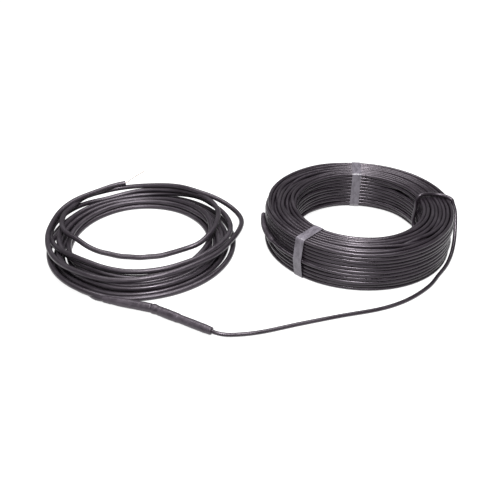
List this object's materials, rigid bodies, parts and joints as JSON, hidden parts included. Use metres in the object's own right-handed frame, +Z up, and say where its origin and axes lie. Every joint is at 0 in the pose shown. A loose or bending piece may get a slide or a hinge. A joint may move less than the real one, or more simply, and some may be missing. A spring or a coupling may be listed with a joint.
{
  "type": "heating cable",
  "caption": "Twin-conductor heating cable in a tied ring, with a shrink-sleeved joint to a loosely wound cold lead that ends in a bare wire.",
  "frame": {"origin": "on the floor under the middle of the whole set's box", "axes": "+X from the cold lead's coil to the heating cable's ring, +Z up, the free run and the joint lie on the -Y side"},
  "size_m": [0.7828, 0.5042, 0.0892],
  "materials": {
    "cable_sheath": "black extruded sheath, softly shining",
    "lead_sheath": "black extruded sheath, satin",
    "shrink_sleeve": "black shrunk sleeve, satin",
    "strap": "dark grey flat strap, glossy",
    "bare_wire": "bare bright copper conductor"
  },
  "bodies": {
    "root": {"heating_coil": "cable_sheath", "heating_cable_tail": "cable_sheath", "end_seal": "shrink_sleeve", "strap_back": "strap", "strap_front": "strap", "joint_sleeve_cable_side": "shrink_sleeve", "joint_sleeve_lead_side": "shrink_sleeve", "cold_lead_entry": "lead_sheath", "cold_lead_coil": "lead_sheath", "cold_lead_outer_loop": "lead_sheath", "cold_lead_inner_loop": "lead_sheath", "cold_lead_end": "lead_sheath", "bare_wire": "bare_wire"}
  },
  "joints": []
}
